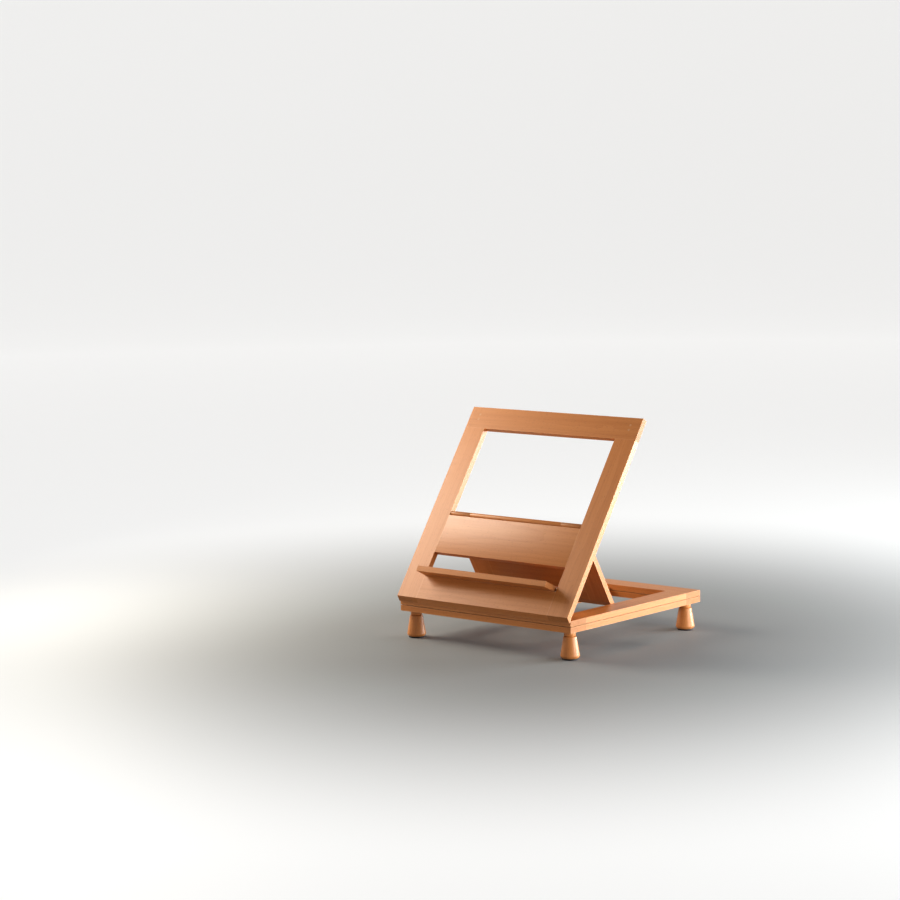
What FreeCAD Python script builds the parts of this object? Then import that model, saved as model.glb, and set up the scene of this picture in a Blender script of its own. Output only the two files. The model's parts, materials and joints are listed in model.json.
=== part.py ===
import FreeCAD, Part
import math
import os

# Table-top easel: a leaning panel with a ledge and a strut, on a base that revolves.
# Millimetres. X is the easel's width, +Y its back, +Z up.
# The origin is on the table, at the middle of the whole outline.
V = FreeCAD.Vector

# Base: two frames of the same outline, one over the other.
width = 400.0
depth = 394.0
rail = 46.0
base_board = 10.8
slip_gap = 0.9
foot_height = 51.0
foot_side_inset = 19.0
foot_end_inset = 22.0

# Panel, measured up its slope from the hinge line.
board = 11.0
tilt = 55.3
fold_lift = 0.25
bottom_tip = -5.0
bottom_front = 0.6
bottom_rail_top = 47.0
mid_rail_bottom = 96.3
mid_rail_top = 173.9
opening_top = 358.9
panel_top = 403.6

# Strut and ledge: boards that turn on pins in the stiles and fold flush into the panel.
leaf_board = 10.4
nose_gap = 0.4
strut_lean = 60.2
strut_side_gap = 1.0
strut_end_gap = 1.0
strut_edge = 46.0
strut_heel_length = 10.5
strut_heel_rise = 2.6
ledge_length = 34.6
ledge_droop = 9.0
ledge_stop_gap = 0.25
ledge_left_gap = 1.0
ledge_right_gap = 5.2

# Rack in the upper centre rail.
rack_drop = 5.5
notch_depth = 2.6
notch_pitch = 16.0
notch_count = 8
notch_front_run = 3.8
notch_back_run = 0.8

# Joinery. Dowel places are measured from the middle of a rail or up the panel.
dowel_radius = 2.5
thin_dowel_radius = 1.5
dowel_half = 15.0
dowel_spread = 12.0
mid_rail_dowels = (113.0, 157.0)
bottom_rail_dowels = (12.0, 34.0)
joint_play = 0.03
tenon_width = 30.0
tenon_thickness = 3.8
tenon_length = 36.0
corner_pin_radius = 2.25
corner_pin_heights = (378.6, 388.2)

# Hardware.
pivot_pin_radius = 2.0
pivot_pin_in_stile = 18.0
pivot_pin_in_leaf = 14.0
pivot_pin_end_gap = 0.3
running_play = 0.05
hinge_x = 105.0
hinge_width = 40.0
leaf_depth = 18.0
leaf_thickness = 1.0
knuckle_radius = 2.2
knuckle_room = 0.4
knuckle_gap = 0.3
middle_knuckle = 19.7
hinge_pin_radius = 1.0
screw_head_radius = 2.6
screw_shank_radius = 1.25
screw_head_height = 1.3
screw_length = 9.0
screw_point_length = 2.0
screw_point_radius = 0.3
screw_cross_length = 3.0
screw_cross_width = 0.6
screw_cross_depth = 0.8
screw_spread = 13.0
outer_screw_depth = 12.5
middle_screw_depth = 8.5
bolt_radius = 3.0
bolt_head_radius = 8.0
bolt_head_height = 2.0
bolt_head_side_gap = 0.3
bolt_head_end_gap = 0.2
bolt_head_sink = 0.1
bolt_socket_width = 4.0
bolt_socket_depth = 1.4
nut_width = 10.0
nut_height = 5.0
nut_sink = 0.3
nut_pocket_radius = 7.0
washer_radius = 14.0
washer_bore_play = 0.2
washer_thickness = 0.8
glide_radius = 7.0

# Feet, turned: a collar, a groove, a straight flare and a chamfered bottom edge on a pad.
foot_collar_radius = 10.4
foot_collar_height = 8.4
foot_groove_radius = 9.2
foot_groove_height = 1.4
foot_waist_radius = 11.8
foot_widest_radius = 17.6
foot_widest_height = 6.2
foot_bottom_radius = 15.2
foot_spigot_radius = 6.0
foot_spigot_length = 9.0
foot_spigot_end_gap = 0.2
pad_radius = 14.6
pad_height = 2.6

# Places worked out from the sizes above.
half_width = width / 2
opening_half = half_width - rail
lower_bottom = foot_height
lower_top = lower_bottom + base_board
upper_bottom = lower_top + slip_gap
upper_top = upper_bottom + base_board
rack_top = upper_top - rack_drop
back_face = fold_lift
front_face = fold_lift + board
middle_face = fold_lift + board / 2
lean_angle = math.radians(tilt)
panel_overhang = front_face * math.sin(lean_angle) - bottom_front * math.cos(lean_angle)
bolt_head_bottom = rack_top - bolt_head_height - bolt_head_sink
base_front = -(depth - panel_overhang) / 2
base_back = base_front + depth
base_middle = base_front + depth / 2
hinge_z = upper_top + fold_lift
leaf_half = leaf_board / 2
strut_pin_slope = mid_rail_top + nose_gap + leaf_half
strut_reach = opening_top - strut_end_gap - strut_pin_slope
strut_fold = tilt + strut_lean
strut_half_width = opening_half - strut_side_gap
droop_angle = math.radians(ledge_droop)
ledge_pin_height = (leaf_half + ledge_stop_gap) / math.cos(droop_angle) + board / 2 * math.tan(droop_angle)
ledge_pin_slope = bottom_rail_top + ledge_pin_height
ledge_left = -opening_half + ledge_left_gap
ledge_right = opening_half - ledge_right_gap


def box(x0, x1, y0, y1, z0, z1):
    return Part.makeBox(x1 - x0, y1 - y0, z1 - z0, V(x0, y0, z0))


def rod(radius, start, direction, length):
    return Part.makeCylinder(radius, length, start, direction)


def extrude_outline(outline, x0, x1):
    """A board from its outline of (y, z) corners, between two places on X."""
    corners = [V(x0, y, z) for y, z in outline]
    face = Part.Face(Part.makePolygon(corners + corners[:1]))
    return face.extrude(V(x1 - x0, 0, 0))


def both_sides(x0, x1):
    """The same stretch of X on the left and on the right."""
    return ((-x1, -x0), (x0, x1))


def moved(shape, place):
    copy = shape.copy()
    copy.translate(place)
    return copy


def turned(shape, angle, place):
    """A shape turned about X at the origin and then carried to its place."""
    copy = shape.copy()
    copy.rotate(V(0, 0, 0), V(1, 0, 0), angle)
    return moved(copy, place)


def on_base(shape):
    """From the hinge axis at the origin to its place on the base."""
    return moved(shape, V(0, base_front, hinge_z))


def on_panel(shape):
    """From the panel's layout (Y up its slope, Z out of its front) to the leaning panel."""
    return turned(shape, tilt, V(0, base_front, hinge_z))


def panel_point(slope, out):
    """The (y, z) of a point on the leaning panel."""
    y = base_front + slope * math.cos(lean_angle) - out * math.sin(lean_angle)
    z = hinge_z + slope * math.sin(lean_angle) + out * math.cos(lean_angle)
    return y, z


def save(name, shape):
    """Write one sub-part, without the seams that the cuts leave behind."""
    clean = shape.removeSplitter() if shape.ShapeType != "Compound" else shape
    clean.exportStep("parts/" + name + ".step")
    solids = len(clean.Solids)
    print(f"{name:26s} {solids:2d} solid(s) {clean.Volume / 1000:9.2f} cm3 valid {clean.isValid()}")


# Frames of the base

def frame_rails(bottom, top, centre_top):
    """The five rails of one frame, by name."""
    front_inner = base_front + rail
    back_inner = base_back - rail
    left, right = both_sides(opening_half, half_width)
    return {
        "front_rail": box(-half_width, half_width, base_front, front_inner, bottom, top),
        "back_rail": box(-half_width, half_width, back_inner, base_back, bottom, top),
        "left_rail": box(*left, front_inner, back_inner, bottom, top),
        "right_rail": box(*right, front_inner, back_inner, bottom, top),
        "centre_rail": box(-rail / 2, rail / 2, front_inner, back_inner, bottom, centre_top),
    }


def frame_dowels(side_z, centre_z, centre_radius, play=0.0):
    """Dowels through the four corner joints and the two ends of the centre rail."""
    dowels = []
    length = 2 * (dowel_half + play)
    side_middle = half_width - rail / 2
    rows = (
        (-side_middle, dowel_radius, side_z),
        (0.0, centre_radius, centre_z),
        (side_middle, dowel_radius, side_z),
    )
    for joint_y in (base_front + rail, base_back - rail):
        start_y = joint_y - dowel_half - play
        for middle_x, radius, z in rows:
            for x in (middle_x - dowel_spread, middle_x + dowel_spread):
                dowels.append(rod(radius + play, V(x, start_y, z), V(0, 1, 0), length))
    return dowels


def foot_places():
    """Each foot's name with its axis on X and Y."""
    x = half_width - foot_side_inset
    front = base_front + foot_end_inset
    back = base_back - foot_end_inset
    return {
        "front_left": (-x, front),
        "front_right": (x, front),
        "back_left": (-x, back),
        "back_right": (x, back),
    }


def make_lower_frame():
    middle = (lower_bottom + lower_top) / 2
    rails = frame_rails(lower_bottom, lower_top, lower_top)
    holes = frame_dowels(middle, middle, dowel_radius, joint_play)
    up = V(0, 0, 1)
    spigot_hole = foot_spigot_length + foot_spigot_end_gap
    for x, y in foot_places().values():
        holes.append(rod(foot_spigot_radius + joint_play, V(x, y, lower_bottom), up, spigot_hole))
    pivot = V(0, base_middle, lower_bottom)
    holes.append(rod(bolt_radius + joint_play, pivot, up, base_board))
    holes.append(rod(nut_pocket_radius, pivot, up, nut_sink + nut_height))
    cutter = Part.makeCompound(holes)
    for name, shape in rails.items():
        save("lower_" + name, shape.cut(cutter))
    save("lower_frame_dowels", Part.makeCompound(frame_dowels(middle, middle, dowel_radius)))


def rack_notches():
    """Vee notches across the top of the upper centre rail, from the strut's foot to the back."""
    pin_y = panel_point(strut_pin_slope, middle_face)[0]
    lean = math.radians(strut_lean)
    heel = strut_heel_rise - leaf_half
    first = pin_y + strut_reach * math.cos(lean) + heel * math.sin(lean)
    notches = []
    for number in range(notch_count):
        y = first + number * notch_pitch
        vee = [(y - notch_front_run, rack_top), (y, rack_top - notch_depth), (y + notch_back_run, rack_top)]
        notches.append(extrude_outline(vee, -rail / 2, rail / 2))
    return notches


def make_upper_frame():
    middle = (upper_bottom + upper_top) / 2
    rack_middle = upper_bottom + (base_board - rack_drop) / 2
    rails = frame_rails(upper_bottom, upper_top, rack_top)
    holes = frame_dowels(middle, rack_middle, thin_dowel_radius, joint_play)
    up = V(0, 0, 1)
    pivot = V(0, base_middle, upper_bottom)
    head_seat = V(0, base_middle, bolt_head_bottom - bolt_head_end_gap)
    holes.append(rod(bolt_radius + running_play, pivot, up, base_board))
    holes.append(rod(bolt_head_radius + bolt_head_side_gap, head_seat, up, base_board))
    holes += rack_notches()
    for x in (-hinge_x, hinge_x):
        holes += base_hinge_seat(x)
    cutter = Part.makeCompound(holes)
    for name, shape in rails.items():
        save("upper_" + name, shape.cut(cutter))
    dowels = frame_dowels(middle, rack_middle, thin_dowel_radius)
    save("upper_frame_dowels", Part.makeCompound(dowels))


# Feet

def foot_solid(x, y):
    """A turned foot on its axis, with the spigot that goes up into the frame."""
    collar_bottom = foot_height - foot_collar_height
    groove_bottom = collar_bottom - foot_groove_height
    spigot_top = foot_height + foot_spigot_length
    outline = [
        (0, pad_height),
        (foot_bottom_radius, pad_height),
        (foot_widest_radius, foot_widest_height),
        (foot_waist_radius, groove_bottom),
        (foot_groove_radius, collar_bottom - foot_groove_height / 2),
        (foot_collar_radius, collar_bottom),
        (foot_collar_radius, foot_height),
        (foot_spigot_radius, foot_height),
        (foot_spigot_radius, spigot_top),
        (0, spigot_top),
    ]
    points = [V(x + radius, y, z) for radius, z in outline]
    face = Part.Face(Part.makePolygon(points + points[:1]))
    return face.revolve(V(x, y, 0), V(0, 0, 1), 360)


def make_feet():
    for name, (x, y) in foot_places().items():
        save("foot_" + name, foot_solid(x, y))
        save("foot_pad_" + name, rod(pad_radius, V(x, y, 0), V(0, 0, 1), pad_height))


# Pivot between the frames

def hexagon(across, bottom, height):
    """A hexagonal prism about the pivot axis."""
    corner = across / math.sqrt(3)
    steps = [math.radians(60 * step) for step in range(7)]
    points = [V(corner * math.cos(a), base_middle + corner * math.sin(a), bottom) for a in steps]
    return Part.Face(Part.makePolygon(points)).extrude(V(0, 0, height))


def pivot_rod(radius, bottom, height):
    """A cylinder on the pivot axis."""
    return rod(radius, V(0, base_middle, bottom), V(0, 0, 1), height)


def make_pivot():
    nut_bottom = lower_bottom + nut_sink
    head = pivot_rod(bolt_head_radius, bolt_head_bottom, bolt_head_height)
    shank = pivot_rod(bolt_radius, nut_bottom, bolt_head_bottom - nut_bottom)
    socket_bottom = bolt_head_bottom + bolt_head_height - bolt_socket_depth
    socket = hexagon(bolt_socket_width, socket_bottom, bolt_socket_depth)
    save("pivot_bolt", head.fuse(shank).cut(socket))
    nut = hexagon(nut_width, nut_bottom, nut_height)
    save("pivot_nut", nut.cut(pivot_rod(bolt_radius + joint_play, nut_bottom, nut_height)))
    washer = pivot_rod(washer_radius, lower_top, washer_thickness)
    washer_bore = pivot_rod(bolt_radius + washer_bore_play, lower_top, washer_thickness)
    save("pivot_washer", washer.cut(washer_bore))
    discs = []
    for x, y in foot_places().values():
        discs.append(rod(glide_radius, V(x, y, lower_top), V(0, 0, 1), washer_thickness))
    save("glide_discs", Part.makeCompound(discs))


# Hinges between the base and the panel, drawn about an axis along X at the origin.
# The base leaf lies towards +Y. The panel leaf is drawn lying flat, and leans with the panel.

def hinge_screw(grow=0.0):
    """A countersunk wood screw along -Z, its head's top at the origin."""
    head = Part.makeCone(screw_shank_radius + grow, screw_head_radius + grow, screw_head_height,
                         V(0, 0, -screw_head_height))
    shank_length = screw_length - screw_point_length
    shank = rod(screw_shank_radius + grow, V(0, 0, -shank_length), V(0, 0, 1), shank_length)
    point = Part.makeCone(screw_point_radius + grow, screw_shank_radius + grow,
                          screw_point_length + grow, V(0, 0, -screw_length - grow))
    return head.fuse(shank).fuse(point)


def cross_recess():
    """The cross in a screw's head."""
    long = screw_cross_length / 2
    short = screw_cross_width / 2
    one = box(-long, long, -short, short, -screw_cross_depth, 0)
    other = box(-short, short, -long, long, -screw_cross_depth, 0)
    return one.fuse(other)


def screw_places(x):
    """Three screws on a leaf, the middle one nearer the knuckles."""
    return (
        (x - screw_spread, outer_screw_depth),
        (x, middle_screw_depth),
        (x + screw_spread, outer_screw_depth),
    )


def base_screws(x, screw):
    """A screw, or a screw's hole, at each place on a base leaf, driven down."""
    return [moved(screw, V(sx, sy, -fold_lift)) for sx, sy in screw_places(x)]


def panel_screws(x, screw):
    """A screw, or a screw's hole, at each place on a panel leaf, driven up."""
    return [turned(screw, 180, V(sx, sy, fold_lift)) for sx, sy in screw_places(x)]


def along_x(x0, x1, radius):
    """A round bar on the hinge axis."""
    return rod(radius, V(x0, 0, 0), V(1, 0, 0), x1 - x0)


def base_leaf(x):
    """The leaf let into the base's top: two outer knuckles."""
    half = hinge_width / 2
    inner = middle_knuckle / 2 + knuckle_gap / 2
    plate = box(x - half, x + half, 0, leaf_depth, -fold_lift - leaf_thickness, -fold_lift)
    plate = plate.cut(along_x(x - inner, x + inner, knuckle_radius + knuckle_room))
    left_knuckle = along_x(x - half, x - inner, knuckle_radius)
    right_knuckle = along_x(x + inner, x + half, knuckle_radius)
    leaf = plate.fuse(left_knuckle).fuse(right_knuckle)
    leaf = leaf.cut(along_x(x - half, x + half, hinge_pin_radius + joint_play))
    for hole in base_screws(x, hinge_screw(joint_play)):
        leaf = leaf.cut(hole)
    return leaf


def panel_leaf(x):
    """The leaf let into the panel's back: one middle knuckle."""
    half = hinge_width / 2
    inner = middle_knuckle / 2 - knuckle_gap / 2
    plate = box(x - half, x + half, 0, leaf_depth, fold_lift, fold_lift + leaf_thickness)
    for x0, x1 in ((x - half, x - inner), (x + inner, x + half)):
        plate = plate.cut(along_x(x0, x1, knuckle_radius + knuckle_room))
    leaf = plate.fuse(along_x(x - inner, x + inner, knuckle_radius))
    leaf = leaf.cut(along_x(x - inner, x + inner, hinge_pin_radius + running_play))
    for hole in panel_screws(x, hinge_screw(joint_play)):
        leaf = leaf.cut(hole)
    return leaf


def base_hinge_seat(x):
    """What is cut out of the upper front rail for one hinge."""
    half = hinge_width / 2
    seat = box(x - half, x + half, 0, leaf_depth, -fold_lift - leaf_thickness, 0)
    room = along_x(x - half - knuckle_gap, x + half + knuckle_gap, knuckle_radius + knuckle_room)
    cuts = [seat, room] + base_screws(x, hinge_screw(joint_play))
    return [on_base(cut) for cut in cuts]


def panel_hinge_seat(x):
    """What is cut out of the panel's bottom rail for one hinge, in the panel's layout."""
    half = hinge_width / 2
    seat = box(x - half, x + half, 0, leaf_depth, 0, fold_lift + leaf_thickness)
    room = along_x(x - half - knuckle_gap, x + half + knuckle_gap, knuckle_radius + knuckle_room)
    return [seat, room] + panel_screws(x, hinge_screw(joint_play))


def make_hinges():
    in_base = []
    in_panel = []
    screw = hinge_screw().cut(cross_recess())
    for side, x in (("left", -hinge_x), ("right", hinge_x)):
        save("hinge_base_leaf_" + side, on_base(base_leaf(x)))
        save("hinge_panel_leaf_" + side, on_panel(panel_leaf(x)))
        pin = along_x(x - hinge_width / 2, x + hinge_width / 2, hinge_pin_radius)
        save("hinge_pin_" + side, on_base(pin))
        in_base += base_screws(x, screw)
        in_panel += panel_screws(x, screw)
    save("hinge_base_screws", on_base(Part.makeCompound(in_base)))
    save("hinge_panel_screws", on_panel(Part.makeCompound(in_panel)))


# Panel

def cross_dowels(play=0.0):
    """Dowels along X that join the mid and bottom rails to the stiles."""
    dowels = []
    length = 2 * (dowel_half + play)
    for side in (-1, 1):
        start_x = side * opening_half - dowel_half - play
        for slope in bottom_rail_dowels + mid_rail_dowels:
            dowels.append(rod(dowel_radius + play, V(start_x, slope, middle_face), V(1, 0, 0), length))
    return dowels


def tenon(side):
    """The tongue of a stile that goes up into the top rail."""
    middle_x = side * (opening_half + rail / 2)
    half = tenon_width / 2
    low = middle_face - tenon_thickness / 2
    high = middle_face + tenon_thickness / 2
    return box(middle_x - half, middle_x + half, opening_top, opening_top + tenon_length, low, high)


def corner_pins(play=0.0):
    """Two pins through each top corner, which lock the tenons."""
    pins = []
    for side in (-1, 1):
        x = side * (opening_half + rail / 2)
        for slope in corner_pin_heights:
            pins.append(rod(corner_pin_radius + play, V(x, slope, back_face), V(0, 0, 1), board))
    return pins


def leaf_pins(slope, leaf_left, leaf_right, play=0.0):
    """The two pins that a folding board turns on, along X into the stiles."""
    outer = opening_half + pivot_pin_in_stile + play
    stretches = ((-outer, leaf_left + pivot_pin_in_leaf), (leaf_right - pivot_pin_in_leaf, outer))
    pins = []
    for x0, x1 in stretches:
        pins.append(rod(pivot_pin_radius + play, V(x0, slope, middle_face), V(1, 0, 0), x1 - x0))
    return pins


def mid_rail_outline():
    """The mid rail's section. Its back top edge is bevelled as the open strut's stop."""
    fold = math.radians(strut_fold)
    reach = leaf_half + nose_gap
    start_slope = strut_pin_slope - reach * math.sin(fold)
    start_out = middle_face - reach * math.cos(fold)
    along_to_back = (start_out - back_face) / math.sin(fold)
    along_to_top = (mid_rail_top - start_slope) / math.cos(fold)
    bevel_slope = start_slope + along_to_back * math.cos(fold)
    bevel_out = start_out - along_to_top * math.sin(fold)
    return [
        (mid_rail_bottom, back_face),
        (mid_rail_bottom, front_face),
        (mid_rail_top, front_face),
        (mid_rail_top, bevel_out),
        (bevel_slope, back_face),
    ]


def lower_end_outline(top):
    """The section of a stile or the bottom rail, with the bevelled lower edge."""
    return [(bottom_tip, back_face), (bottom_front, front_face), (top, front_face), (top, back_face)]


def make_panel():
    holes = cross_dowels(joint_play) + corner_pins(joint_play)
    holes += leaf_pins(strut_pin_slope, -strut_half_width, strut_half_width, joint_play)
    holes += leaf_pins(ledge_pin_slope, ledge_left, ledge_right, joint_play)
    for x in (-hinge_x, hinge_x):
        holes += panel_hinge_seat(x)
    cutter = Part.makeCompound(holes)
    stiles = dict(zip(("left_stile", "right_stile"), both_sides(opening_half, half_width)))
    for side, (name, (x0, x1)) in zip((-1, 1), stiles.items()):
        stile = extrude_outline(lower_end_outline(opening_top), x0, x1).fuse(tenon(side))
        save(name, on_panel(stile.cut(cutter)))
    top_rail = box(-half_width, half_width, opening_top, panel_top, back_face, front_face)
    top_rail = top_rail.cut(tenon(-1)).cut(tenon(1))
    save("top_rail", on_panel(top_rail.cut(cutter)))
    mid_rail = extrude_outline(mid_rail_outline(), -opening_half, opening_half)
    save("mid_rail", on_panel(mid_rail.cut(cutter)))
    bottom_rail = extrude_outline(lower_end_outline(bottom_rail_top), -opening_half, opening_half)
    save("bottom_rail", on_panel(bottom_rail.cut(cutter)))
    save("panel_dowels", on_panel(Part.makeCompound(cross_dowels())))
    save("corner_pins", on_panel(Part.makeCompound(corner_pins())))
    strut_pins = leaf_pins(strut_pin_slope, -strut_half_width, strut_half_width)
    ledge_pins = leaf_pins(ledge_pin_slope, ledge_left, ledge_right)
    save("strut_pins", on_panel(Part.makeCompound(strut_pins)))
    save("ledge_pins", on_panel(Part.makeCompound(ledge_pins)))


# Strut and ledge, drawn from their pin axis at the origin towards +Y

def leaf_face(corners, x):
    """A board's section: a half-round nose about the pin, then straight runs through the corners."""
    nose_top = V(x, 0, leaf_half)
    nose_bottom = V(x, 0, -leaf_half)
    edges = [Part.Arc(nose_top, V(x, -leaf_half, 0), nose_bottom).toShape()]
    points = [nose_bottom] + [V(x, y, z) for y, z in corners] + [nose_top]
    for start, end in zip(points, points[1:]):
        edges.append(Part.LineSegment(start, end).toShape())
    return Part.Face(Part.Wire(edges))


def pin_holes(leaf_left, leaf_right):
    """Running holes for the pins in a board's two ends."""
    deep = pivot_pin_in_leaf + pivot_pin_end_gap
    radius = pivot_pin_radius + running_play
    return [along_x(leaf_left, leaf_left + deep, radius), along_x(leaf_right - deep, leaf_right, radius)]


def make_strut():
    heel_start = strut_reach - strut_heel_length
    corners = [
        (heel_start, -leaf_half),
        (strut_reach, strut_heel_rise - leaf_half),
        (strut_reach, leaf_half),
    ]
    pin_y, pin_z = panel_point(strut_pin_slope, middle_face)
    seam = strut_half_width - strut_edge
    pieces = {
        "strut_left_edge": (-strut_half_width, -seam),
        "strut_board": (-seam, seam),
        "strut_right_edge": (seam, strut_half_width),
    }
    holes = Part.makeCompound(pin_holes(-strut_half_width, strut_half_width))
    for name, (x0, x1) in pieces.items():
        piece = leaf_face(corners, x0).extrude(V(x1 - x0, 0, 0)).cut(holes)
        save(name, turned(piece, -strut_lean, V(0, pin_y, pin_z)))


def make_ledge():
    corners = [(ledge_length, -leaf_half), (ledge_length, leaf_half)]
    pin_y, pin_z = panel_point(ledge_pin_slope, middle_face)
    ledge = leaf_face(corners, ledge_left).extrude(V(ledge_right - ledge_left, 0, 0))
    ledge = ledge.cut(Part.makeCompound(pin_holes(ledge_left, ledge_right)))
    save("ledge", turned(ledge, tilt + 90 + ledge_droop, V(0, pin_y, pin_z)))


def report_joints():
    """Print the joint axes and the outline's corner, for whoever writes the record."""
    print(f"turntable axis x 0 y {base_middle:.4f}")
    print(f"panel hinge y {base_front:.4f} z {hinge_z:.4f} tilt {tilt}")
    print("strut pins y %.4f z %.4f" % panel_point(strut_pin_slope, middle_face))
    print(f"strut fold {strut_fold} ratio {strut_fold / tilt:.5f}")
    print("ledge pins y %.4f z %.4f" % panel_point(ledge_pin_slope, middle_face))
    print(f"ledge pins slope {ledge_pin_slope:.4f} fold {90 + ledge_droop}")


os.makedirs("parts", exist_ok=True)
make_lower_frame()
make_feet()
make_pivot()
make_upper_frame()
make_hinges()
make_panel()
make_strut()
make_ledge()
report_joints()
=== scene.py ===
import json
import math
import random

import bpy
from mathutils import Euler, Matrix, Vector

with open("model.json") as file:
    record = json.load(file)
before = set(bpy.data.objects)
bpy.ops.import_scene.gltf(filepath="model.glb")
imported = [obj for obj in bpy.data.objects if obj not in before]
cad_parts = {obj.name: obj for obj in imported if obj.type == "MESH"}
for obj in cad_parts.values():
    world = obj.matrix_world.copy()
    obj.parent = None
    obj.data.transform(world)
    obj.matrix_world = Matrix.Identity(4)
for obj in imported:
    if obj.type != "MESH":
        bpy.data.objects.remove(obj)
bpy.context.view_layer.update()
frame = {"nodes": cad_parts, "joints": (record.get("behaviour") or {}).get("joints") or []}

MM = 0.001

# The leans of the panel and the strut at rest, from the joints' own ranges.
JOINTS = {joint["name"]: joint for joint in frame["joints"]}
PANEL_LEAN = math.radians(-JOINTS["panel_tilt"]["range_deg"][0])
STRUT_LEAN = math.radians(JOINTS["strut_fold"]["range_deg"][1]) - PANEL_LEAN

# Linear colours. The beech is under satin varnish.
BEECH_PALE = (0.58, 0.238, 0.074)
BEECH_DEEP = (0.42, 0.138, 0.035)
BEECH_FLECK = (0.24, 0.080, 0.028)
BEECH_WORN = (0.70, 0.370, 0.170)
DOWEL_PALE = (0.70, 0.370, 0.170)
DOWEL_DEEP = (0.56, 0.260, 0.110)
BRASS = (0.72, 0.50, 0.21)
STEEL = (0.56, 0.56, 0.57)
RUBBER = (0.035, 0.030, 0.027)
SLIP_FIBRE = (0.10, 0.085, 0.070)
FLOOR_PAINT = (0.25, 0.248, 0.244)
# The colour of the floor's painted glow: light emitted by the floor, standing in for a lit backdrop.
FLOOR_PAINTED_GLOW = (1.0, 0.995, 0.985)

# Patterns in the wood, in cycles per metre along the grain, across it and through it.
SWAY_CYCLES = (2.2, 11.0, 11.0)
FIGURE_CYCLES = (1.3, 120.0, 120.0)
FIBRE_CYCLES = (22.0, 1100.0, 1100.0)
CLOUD_CYCLES = (3.0, 9.0, 9.0)
FLECK_CYCLES = (95.0, 820.0, 820.0)
PORE_CYCLES = (300.0, 1600.0, 1600.0)
WEAR_CYCLES = (60.0, 60.0, 60.0)
RING_WIDTH = 3.6 * MM
RING_SWAY = 20.0 * MM
RING_SHARPNESS = 2.5
WEAR_REACH = 3.0 * MM
FLECKLESS_SHARE = 0.45
FLECK_CORE = 0.10
FLECK_RIM = 0.30
END_GRAIN_STARTS = 0.75
END_GRAIN_FULL = 0.95

# Where a board's middle may lie in its log, along the log's heart and to the two sides of it.
LOG_ALONG = (-3.0, 3.0)
LOG_ASIDE = (-0.03, 0.03)
LOG_OUTWARD = (0.05, 0.11)
BOARD_TONES = (0.95, 1.05)

# How strongly each pattern shows in the wood's colour.
RING_CONTRAST = 0.12
FIGURE_CONTRAST = 0.55
FIBRE_CONTRAST = 0.20
DEPTH_OFFSET = 0.04
DEPTH_PALE = 0.05
DEPTH_DEEP = 0.95
CLOUD_CONTRAST = 0.16
FLECK_STRENGTH = 0.45
END_GRAIN_SHADE = 0.62
PORE_CONTRAST = 0.30
WEAR_STRENGTH = 0.30

# The wood's roughness, what each pattern adds to it, and the relief of each pattern.
WOOD_ROUGHNESS = 0.35
FIBRE_ROUGHNESS = 0.12
FLECK_ROUGHNESS = 0.10
END_ROUGHNESS = 0.18
FIBRE_RELIEF = 0.7
RING_RELIEF = 0.25
FLECK_RELIEF = -0.5
RELIEF_DEPTH = 0.12 * MM
RELIEF_STRENGTH = 0.6
VARNISH = {"Coat_Weight": 0.05, "Coat_Roughness": 0.25, "Specular_IOR_Level": 0.35}

# Patterns in the other materials, in cycles per metre.
BRUSH_CYCLES = (60.0, 3000.0, 3000.0)
TARNISH_CYCLES = (130.0, 130.0, 130.0)
BLOTCH_CYCLES = (90.0, 90.0, 90.0)
FLOOR_CYCLES = (3.0, 3.0, 3.0)

# The eased edges of each kind of piece.
RAIL_EDGE = 0.35 * MM
BOARD_EDGE = 0.5 * MM
LEDGE_EDGE = 0.6 * MM
FOOT_EDGE = 0.7 * MM
PAD_EDGE = 0.5 * MM
LEAF_EDGE = 0.12 * MM
SCREW_EDGE = 0.08 * MM
STEEL_EDGE = 0.2 * MM
DISC_EDGE = 0.15 * MM
SHARP_ANGLE = 32.0
TURNED_SHARP_ANGLE = 18.0
FLAT_ANGLE = 0.3
WELD_REACH = 0.005 * MM

# The floor is flat round the object, and rises to a wall far from it.
FLAT_RADIUS = 7.0
WALL_RADIUS = 10.0
WALL_HEIGHT = 4.0
FLOOR_SIDES = 96
WALL_STEPS = 16
# The floor's painted glow: it emits no light up to GLOW_STARTS from the middle, then more, up to GLOW_LEVEL
# at GLOW_FULL.
GLOW_STARTS = 0.3
GLOW_FULL = 1.6
GLOW_LEVEL = 0.64

# The viewer stands to the right of the front, a little above the panel.
CAMERA_PLACE = (3.0183, -3.7901, 0.9233)
CAMERA_AZIMUTH = math.radians(40.67)
CAMERA_ELEVATION = math.radians(6.78)
CAMERA_ROLL = math.radians(-0.96)
CAMERA_LENS = 105.36
CAMERA_SENSOR = 36.0
CAMERA_CLIP_END = 100.0


# Shader nodes

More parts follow.
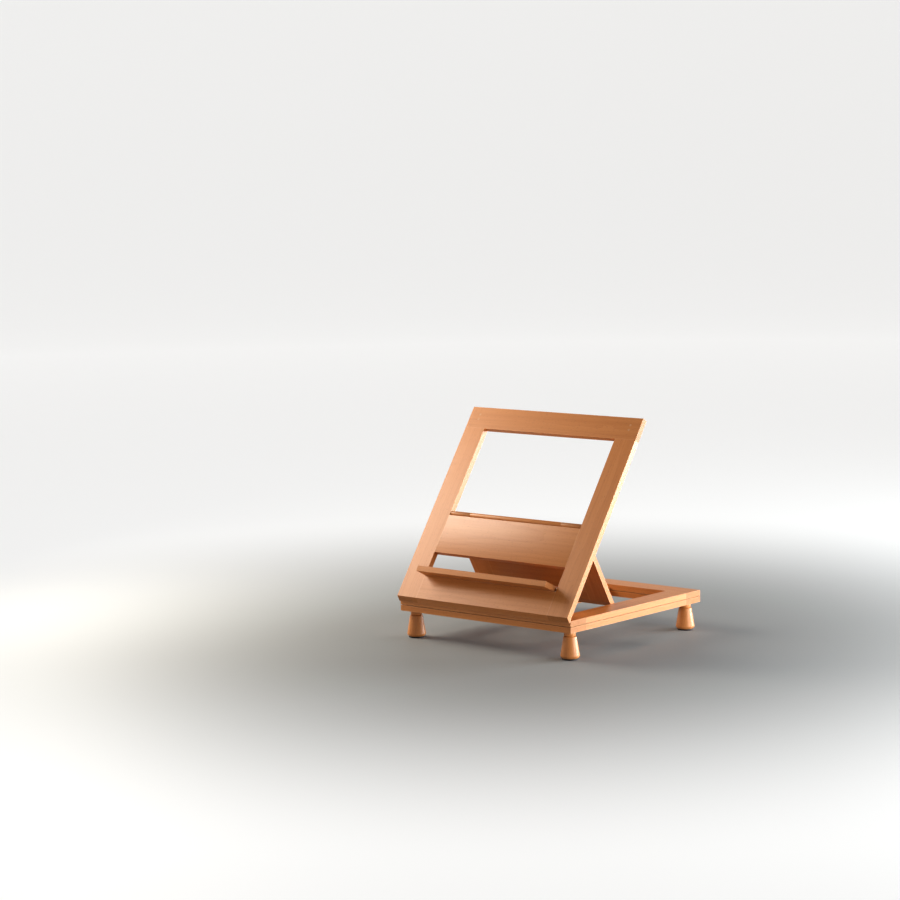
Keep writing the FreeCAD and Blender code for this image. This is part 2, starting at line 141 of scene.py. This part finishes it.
class Shader:
    """One material being wired up, node by node."""

    def __init__(self, name):
        self.material = bpy.data.materials.new(name)
        self.material.use_nodes = True
        self.tree = self.material.node_tree
        self.tree.nodes.clear()
        self.surface = self.add("ShaderNodeBsdfPrincipled")
        output = self.add("ShaderNodeOutputMaterial")
        self.tree.links.new(self.surface.outputs["BSDF"], output.inputs["Surface"])

    def add(self, kind, **settings):
        node = self.tree.nodes.new(kind)
        for key, value in settings.items():
            setattr(node, key, value)
        return node

    def feed(self, socket, value):
        """Put a constant or another node's output into a socket."""
        if isinstance(value, bpy.types.NodeSocket):
            self.tree.links.new(value, socket)
        elif isinstance(value, tuple) and len(value) == 3 and socket.type == "RGBA":
            socket.default_value = (*value, 1.0)
        else:
            socket.default_value = value

    def place(self):
        """Where a point lies on the object at rest, in metres."""
        return self.add("ShaderNodeTexCoord").outputs["Object"]

    def math(self, operation, *values):
        node = self.add("ShaderNodeMath", operation=operation)
        for socket, value in zip(node.inputs, values):
            self.feed(socket, value)
        return node.outputs[0]

    def times(self, value, factor):
        return self.math("MULTIPLY", value, factor)

    def times_plus(self, value, factor, offset):
        """value * factor + offset."""
        return self.math("MULTIPLY_ADD", value, factor, offset)

    def vector(self, operation, *values):
        node = self.add("ShaderNodeVectorMath", operation=operation)
        for socket, value in zip(node.inputs, values):
            self.feed(socket, value)
        scalar = operation in ("LENGTH", "DOT_PRODUCT")
        return node.outputs["Value" if scalar else "Vector"]

    def split(self, vector):
        node = self.add("ShaderNodeSeparateXYZ")
        self.feed(node.inputs[0], vector)
        return node.outputs

    def noise(self, vector, cycles, detail=2.0, roughness=0.5):
        """Noise between 0 and 1, with so many cycles per metre on each axis."""
        node = self.add("ShaderNodeTexNoise")
        self.feed(node.inputs["Vector"], self.vector("MULTIPLY", vector, cycles))
        node.inputs["Scale"].default_value = 1.0
        node.inputs["Detail"].default_value = detail
        node.inputs["Roughness"].default_value = roughness
        return node.outputs["Fac"]

    def ramp(self, value, low, high, out_low=0.0, out_high=1.0):
        """A smooth step from out_low to out_high as value goes from low to high."""
        node = self.add("ShaderNodeMapRange", interpolation_type="SMOOTHSTEP")
        for socket, number in zip(node.inputs, (value, low, high, out_low, out_high)):
            self.feed(socket, number)
        return node.outputs[0]

    def mix(self, share, first, second):
        """A colour that goes from first to second as share goes from 0 to 1."""
        node = self.add("ShaderNodeMix", data_type="RGBA", blend_type="MIX")
        self.feed(node.inputs["Factor"], share)
        colour_inputs = [socket for socket in node.inputs if socket.type == "RGBA"]
        self.feed(colour_inputs[0], first)
        self.feed(colour_inputs[1], second)
        return next(socket for socket in node.outputs if socket.type == "RGBA")

    def scaled_colour(self, colour, factor):
        """A colour made lighter or darker by a factor that varies over the surface."""
        node = self.add("ShaderNodeVectorMath", operation="SCALE")
        self.feed(node.inputs[0], colour)
        self.feed(node.inputs["Scale"], factor)
        return node.outputs["Vector"]

    def bump(self, height, distance, strength):
        node = self.add("ShaderNodeBump")
        node.inputs["Distance"].default_value = distance
        node.inputs["Strength"].default_value = strength
        self.feed(node.inputs["Height"], height)
        self.feed(self.surface.inputs["Normal"], node.outputs["Normal"])

    def finish(self, colour, roughness, **constants):
        self.feed(self.surface.inputs["Base Color"], colour)
        self.feed(self.surface.inputs["Roughness"], roughness)
        for name, value in constants.items():
            self.surface.inputs[name.replace("_", " ")].default_value = value
        return self.material


# Wood

def board_turn(lean, grain):
    """The turn that brings a board's grain onto X, its width onto Y and its thickness onto Z."""
    turns = {
        "across": Euler((-lean, 0.0, 0.0)),
        "along": Euler((-lean, 0.0, math.radians(-90.0))),
        "upright": Euler((0.0, math.radians(90.0), 0.0)),
        "through": Euler((-lean, math.radians(90.0), 0.0)),
    }
    return turns[grain]


def board_extent(node, turn):
    """The middle and half sizes of a CAD node in its board's own directions."""
    matrix = turn.to_matrix()
    points = [matrix @ vertex.co for vertex in frame["nodes"][node].data.vertices]
    low = Vector([min(point[axis] for point in points) for axis in range(3)])
    high = Vector([max(point[axis] for point in points) for axis in range(3)])
    return (low + high) / 2, (high - low) / 2


def board_place(shader, turn, middle):
    """Where a point lies on its board, from the board's middle."""
    mapping = shader.add("ShaderNodeMapping", vector_type="POINT")
    mapping.inputs["Rotation"].default_value = turn
    mapping.inputs["Location"].default_value = -middle
    shader.feed(mapping.inputs["Vector"], shader.place())
    return mapping.outputs["Vector"]


def late_wood(shader, log):
    """1 at the dark outer side of each growth ring, round the log's heart along X."""
    sway = shader.noise(log, SWAY_CYCLES, detail=3.0)
    from_heart = shader.vector("LENGTH", shader.vector("MULTIPLY", log, (0.0, 1.0, 1.0)))
    swayed = shader.times_plus(sway, RING_SWAY, from_heart)
    ring = shader.math("FRACT", shader.math("DIVIDE", swayed, RING_WIDTH))
    return shader.math("POWER", ring, RING_SHARPNESS)


def ray_flecks(shader, log):
    """1 on short dark flecks along the grain, and 0 in the cells that have none."""
    cells = shader.add("ShaderNodeTexVoronoi")
    shader.feed(cells.inputs["Vector"], shader.vector("MULTIPLY", log, FLECK_CYCLES))
    cells.inputs["Scale"].default_value = 1.0
    here = shader.math("GREATER_THAN", shader.split(cells.outputs["Color"])[0], FLECKLESS_SHARE)
    spot = shader.ramp(cells.outputs["Distance"], FLECK_CORE, FLECK_RIM, 1.0, 0.0)
    return shader.times(spot, here)


def end_grain(shader, turn):
    """1 where the surface faces along the grain."""
    grain_axis = tuple(turn.to_matrix().transposed() @ Vector((1.0, 0.0, 0.0)))
    normal = shader.add("ShaderNodeTexCoord").outputs["Normal"]
    facing = shader.vector("DOT_PRODUCT", normal, grain_axis)
    return shader.ramp(shader.math("ABSOLUTE", facing), END_GRAIN_STARTS, END_GRAIN_FULL)


def worn_edges(shader, board, half):
    """1 on a board's long edges and corners, fading out unevenly within WEAR_REACH."""
    away = shader.vector("SUBTRACT", tuple(half), shader.vector("ABSOLUTE", board))
    x, y, z = shader.split(away)[0:3]
    low = shader.math("MINIMUM", x, y)
    high = shader.math("MAXIMUM", x, y)
    second = shader.math("MAXIMUM", low, shader.math("MINIMUM", high, z))
    ragged = shader.noise(board, WEAR_CYCLES, detail=3.0)
    reach = shader.times(ragged, WEAR_REACH)
    near = shader.math("SUBTRACT", 1.0, shader.math("DIVIDE", second, reach))
    return shader.math("MAXIMUM", near, 0.0)


def wood_patterns(shader, log, turn):
    """The patterns of one board, each between 0 and 1."""
    return {
        "late": late_wood(shader, log),
        "figure": shader.noise(log, FIGURE_CYCLES, detail=4.0, roughness=0.6),
        "fibre": shader.noise(log, FIBRE_CYCLES),
        "cloud": shader.noise(log, CLOUD_CYCLES, detail=1.0),
        "pores": shader.noise(log, PORE_CYCLES, detail=1.0),
        "fleck": ray_flecks(shader, log),
        "end": end_grain(shader, turn),
    }


def wood_colour(shader, patterns, tone, pale, deep):
    figure = shader.times(patterns["figure"], FIGURE_CONTRAST)
    depth = shader.times_plus(patterns["late"], RING_CONTRAST, figure)
    depth = shader.math("ADD", depth, DEPTH_OFFSET)
    depth = shader.times_plus(patterns["fibre"], FIBRE_CONTRAST, depth)
    colour = shader.mix(shader.ramp(depth, DEPTH_PALE, DEPTH_DEEP), pale, deep)
    colour = shader.mix(shader.times(patterns["fleck"], FLECK_STRENGTH), colour, BEECH_FLECK)
    shade = shader.times_plus(patterns["cloud"], CLOUD_CONTRAST, tone - CLOUD_CONTRAST / 2)
    colour = shader.scaled_colour(colour, shade)
    end_shade = shader.times_plus(patterns["pores"], PORE_CONTRAST, END_GRAIN_SHADE)
    return shader.mix(patterns["end"], colour, shader.scaled_colour(colour, end_shade))


def wood_roughness(shader, patterns):
    roughness = shader.times_plus(patterns["fibre"], FIBRE_ROUGHNESS, WOOD_ROUGHNESS)
    roughness = shader.times_plus(patterns["fleck"], FLECK_ROUGHNESS, roughness)
    return shader.times_plus(patterns["end"], END_ROUGHNESS, roughness)


def wood_relief(shader, patterns):
    """Raised fibres and rings, sunk flecks, and pores in the end grain."""
    height = shader.times_plus(patterns["fibre"], FIBRE_RELIEF, shader.times(patterns["late"], RING_RELIEF))
    height = shader.times_plus(patterns["fleck"], FLECK_RELIEF, height)
    return shader.times_plus(patterns["pores"], patterns["end"], height)


def wood(node, lean, grain, pale=BEECH_PALE, deep=BEECH_DEEP, edges=True):
    """Varnished beech cut as one board: rings, fibres, flecks, end grain and worn edges."""
    draw = random.Random(node)
    turn = board_turn(lean, grain)
    middle, half = board_extent(node, turn)
    shader = Shader("beech_" + node)
    board = board_place(shader, turn, middle)

    # Each board is cut from its own place in a log, and has its own tone.
    place_in_log = (draw.uniform(*LOG_ALONG), draw.uniform(*LOG_ASIDE), draw.uniform(*LOG_OUTWARD))
    tone = draw.uniform(*BOARD_TONES)
    log = shader.vector("ADD", board, place_in_log)
    patterns = wood_patterns(shader, log, turn)
    colour = wood_colour(shader, patterns, tone, pale, deep)
    if edges:
        worn = shader.times(worn_edges(shader, board, half), WEAR_STRENGTH)
        colour = shader.mix(worn, colour, BEECH_WORN)
    shader.bump(wood_relief(shader, patterns), RELIEF_DEPTH, RELIEF_STRENGTH)
    return shader.finish(colour, wood_roughness(shader, patterns), **VARNISH)


# Other materials

def metal(name, colour, roughness):
    """Lightly brushed metal with some tarnish, about as rough as given."""
    darkest = 0.80
    tarnish_contrast = 0.35
    brush_roughness = 0.14
    tarnish_roughness = 0.10
    shader = Shader(name)
    place = shader.place()
    brushed = shader.noise(place, BRUSH_CYCLES)
    tarnish = shader.noise(place, TARNISH_CYCLES, detail=3.0)
    shade = shader.times_plus(tarnish, tarnish_contrast, darkest)
    varied = shader.times_plus(brushed, brush_roughness, roughness - brush_roughness / 2)
    varied = shader.times_plus(tarnish, tarnish_roughness, varied)
    shader.bump(brushed, distance=0.03 * MM, strength=0.5)
    return shader.finish(shader.scaled_colour(colour, shade), varied, Metallic=1.0)


def soft_dark(name, colour, grain_size, roughness):
    """Rubber or fibre: a dark sheet with a fine mottle, about as rough as given."""
    darkest = 0.45
    blotch_contrast = 0.4
    mottle_contrast = 0.7
    mottle_roughness = 0.15
    smoother = 0.08
    shader = Shader(name)
    place = shader.place()
    mottle = shader.noise(place, (1.0 / grain_size,) * 3, detail=3.0, roughness=0.7)
    blotch = shader.noise(place, BLOTCH_CYCLES)
    shade = shader.times_plus(blotch, blotch_contrast, darkest)
    shade = shader.times_plus(mottle, mottle_contrast, shade)
    shader.bump(mottle, distance=0.25 * MM, strength=0.8)
    varied = shader.times_plus(mottle, mottle_roughness, roughness - smoother)
    return shader.finish(shader.scaled_colour(colour, shade), varied)


def floor_paint_and_glow():
    """Pale paint with a painted glow: the floor emits light that rises with distance, as if the backdrop
    had its own lights.
    """
    paint_contrast = 0.03
    paint_roughness = 0.65
    shader = Shader("floor_paint_and_glow")
    place = shader.place()
    mottle = shader.noise(place, FLOOR_CYCLES)
    paint_shade = shader.times_plus(mottle, paint_contrast, 1.0 - paint_contrast / 2)
    # Painted glow: the floor emits light, rising with distance from the middle.
    distance = shader.vector("LENGTH", place)
    painted_glow = shader.ramp(distance, GLOW_STARTS, GLOW_FULL, 0.0, GLOW_LEVEL)
    shader.feed(shader.surface.inputs["Emission Color"], shader.scaled_colour(FLOOR_PAINTED_GLOW, painted_glow))
    paint = shader.scaled_colour(FLOOR_PAINT, paint_shade)
    return shader.finish(paint, paint_roughness, Emission_Strength=1.0)


# The look of each CAD node

def assign(node, material):
    obj = frame["nodes"][node]
    while len(obj.material_slots) == 0:
        obj.data.materials.append(None)
    for slot in obj.material_slots:
        slot.link = "OBJECT"
        slot.material = material


def soften(node, width, segments=3, angle=SHARP_ANGLE):
    """Ease the sharp edges of a CAD node, with its surface otherwise as it is."""
    obj = frame["nodes"][node]
    weld = obj.modifiers.new("weld", "WELD")
    weld.merge_threshold = WELD_REACH
    flatten = obj.modifiers.new("flatten", "DECIMATE")
    flatten.decimate_type = "DISSOLVE"
    flatten.angle_limit = math.radians(FLAT_ANGLE)
    bevel = obj.modifiers.new("ease", "BEVEL")
    bevel.width = width
    bevel.segments = segments
    bevel.limit_method = "ANGLE"
    bevel.angle_limit = math.radians(angle)
    bevel.harden_normals = True
    bevel.use_clamp_overlap = True
    bevel.miter_outer = "MITER_ARC"


def dress_boards(grains, lean, edge, prefix=""):
    """Give each named board its wood, with the grain the way it is listed."""
    for name, grain in grains.items():
        assign(prefix + name, wood(prefix + name, lean, grain))
        soften(prefix + name, edge)


def dress_base_frames():
    grains = {
        "front_rail": "across",
        "back_rail": "across",
        "left_rail": "along",
        "right_rail": "along",
        "centre_rail": "along",
        "frame_dowels": "along",
    }
    for prefix in ("lower_", "upper_"):
        dress_boards(grains, 0.0, RAIL_EDGE, prefix)


def dress_panel():
    grains = {
        "left_stile": "along",
        "right_stile": "along",
        "top_rail": "across",
        "mid_rail": "across",
        "bottom_rail": "across",
        "panel_dowels": "across",
    }
    dress_boards(grains, PANEL_LEAN, RAIL_EDGE)
    pins = wood("corner_pins", PANEL_LEAN, "through", DOWEL_PALE, DOWEL_DEEP, edges=False)
    assign("corner_pins", pins)


def dress_folding_boards():
    dress_boards({"ledge": "across"}, PANEL_LEAN, LEDGE_EDGE)
    grains = {
        "strut_board": "across",
        "strut_left_edge": "along",
        "strut_right_edge": "along",
    }
    dress_boards(grains, -STRUT_LEAN, BOARD_EDGE)


def dress_feet():
    pad = soft_dark("pad_rubber", RUBBER, grain_size=0.5 * MM, roughness=0.75)
    for corner in ("front_left", "front_right", "back_left", "back_right"):
        foot = "foot_" + corner
        assign(foot, wood(foot, 0.0, "upright", edges=False))
        soften(foot, FOOT_EDGE, angle=TURNED_SHARP_ANGLE)
        assign("foot_pad_" + corner, pad)
        soften("foot_pad_" + corner, PAD_EDGE)


def dress_hardware():
    brass = metal("rolled_brass", BRASS, roughness=0.30)
    steel = metal("zinc_plated_steel", STEEL, roughness=0.34)
    fibre = soft_dark("slip_fibre", SLIP_FIBRE, grain_size=0.3 * MM, roughness=0.62)
    groups = [
        (("hinge_base_screws", "hinge_panel_screws"), brass, SCREW_EDGE),
        (("pivot_bolt", "pivot_nut", "strut_pins", "ledge_pins"), steel, STEEL_EDGE),
        (("pivot_washer", "glide_discs"), fibre, DISC_EDGE),
    ]
    for side in ("left", "right"):
        hinge = ("hinge_base_leaf_" + side, "hinge_panel_leaf_" + side, "hinge_pin_" + side)
        groups.append((hinge, brass, LEAF_EDGE))
    for names, material, edge in groups:
        for name in names:
            assign(name, material)
            soften(name, edge, segments=2)


# Floor, lights and camera

def floor_mesh():
    """A flat disc that rises in a smooth curve all round, far from the object."""
    profile = [(FLAT_RADIUS, 0.0)]
    for step in range(1, WALL_STEPS + 1):
        angle = math.radians(90.0) * step / WALL_STEPS
        run = (WALL_RADIUS - FLAT_RADIUS) * math.sin(angle)
        profile.append((FLAT_RADIUS + run, WALL_HEIGHT * (1.0 - math.cos(angle))))
    vertices = [(0.0, 0.0, 0.0)]
    for radius, height in profile:
        for side in range(FLOOR_SIDES):
            angle = 2.0 * math.pi * side / FLOOR_SIDES
            vertices.append((radius * math.cos(angle), radius * math.sin(angle), height))
    faces = [(0, 1 + side, 1 + (side + 1) % FLOOR_SIDES) for side in range(FLOOR_SIDES)]
    for step in range(WALL_STEPS):
        near = 1 + step * FLOOR_SIDES
        far = near + FLOOR_SIDES
        for side in range(FLOOR_SIDES):
            after = (side + 1) % FLOOR_SIDES
            faces.append((near + side, far + side, far + after, near + after))
    mesh = bpy.data.meshes.new("floor")
    mesh.from_pydata(vertices, [], faces)
    mesh.shade_smooth()
    return mesh


def make_floor():
    mesh = floor_mesh()
    mesh.materials.append(floor_paint_and_glow())
    floor = bpy.data.objects.new("floor", mesh)
    bpy.context.scene.collection.objects.link(floor)


def area_light(name, place, target, size, power, colour):
    data = bpy.data.lights.new(name, "AREA")
    data.shape = "RECTANGLE"
    data.size, data.size_y = size
    data.energy = power
    data.color = colour
    light = bpy.data.objects.new(name, data)
    bpy.context.scene.collection.objects.link(light)
    light.location = place
    light.rotation_euler = (Vector(target) - Vector(place)).to_track_quat("-Z", "Y").to_euler()
    light.visible_camera = False


def make_lights():
    """A warm key from the left, two cooler lights from the right, and one from above."""
    middle = (0.0, 0.0, 0.15)
    area_light(
        "key",
        place=(-1.0, -0.38, 0.74),
        target=(-0.1, -0.1, 0.2),
        size=(0.6, 0.6),
        power=15.0,
        colour=(1.0, 0.96, 0.86),
    )
    area_light(
        "side",
        place=(1.55, 1.75, 0.40),
        target=middle,
        size=(1.8, 0.75),
        power=100.0,
        colour=(0.86, 0.95, 1.0),
    )
    area_light(
        "rim",
        place=(1.7, 0.12, 0.35),
        target=middle,
        size=(0.7, 0.5),
        power=16.0,
        colour=(0.95, 0.98, 1.0),
    )
    area_light(
        "top",
        place=(0.3, 0.9, 2.6),
        target=middle,
        size=(2.2, 1.6),
        power=9.0,
        colour=(1.0, 1.0, 1.0),
    )
    world = bpy.data.worlds.new("studio")
    world.use_nodes = True
    sky = world.node_tree.nodes["Background"]
    sky.inputs["Color"].default_value = (0.93, 0.95, 1.0, 1.0)
    sky.inputs["Strength"].default_value = 0.05
    bpy.context.scene.world = world


def make_camera():
    forward = Vector((
        -math.sin(CAMERA_AZIMUTH) * math.cos(CAMERA_ELEVATION),
        math.cos(CAMERA_AZIMUTH) * math.cos(CAMERA_ELEVATION),
        -math.sin(CAMERA_ELEVATION),
    ))
    level = Vector((math.cos(CAMERA_AZIMUTH), math.sin(CAMERA_AZIMUTH), 0.0))
    upright = level.cross(forward)
    right = level * math.cos(CAMERA_ROLL) + upright * math.sin(CAMERA_ROLL)
    up = upright * math.cos(CAMERA_ROLL) - level * math.sin(CAMERA_ROLL)
    facing = Matrix((right, up, -forward)).transposed().to_4x4()
    data = bpy.data.cameras.new("camera")
    data.sensor_width = CAMERA_SENSOR
    data.lens = CAMERA_LENS
    data.clip_end = CAMERA_CLIP_END
    camera = bpy.data.objects.new("camera", data)
    bpy.context.scene.collection.objects.link(camera)
    camera.matrix_world = Matrix.Translation(CAMERA_PLACE) @ facing
    bpy.context.scene.camera = camera


dress_base_frames()
dress_panel()
dress_folding_boards()
dress_feet()
dress_hardware()
make_floor()
make_lights()
make_camera()
bpy.context.scene.view_settings.view_transform = "Standard"
bpy.context.scene.view_settings.look = "Medium High Contrast"
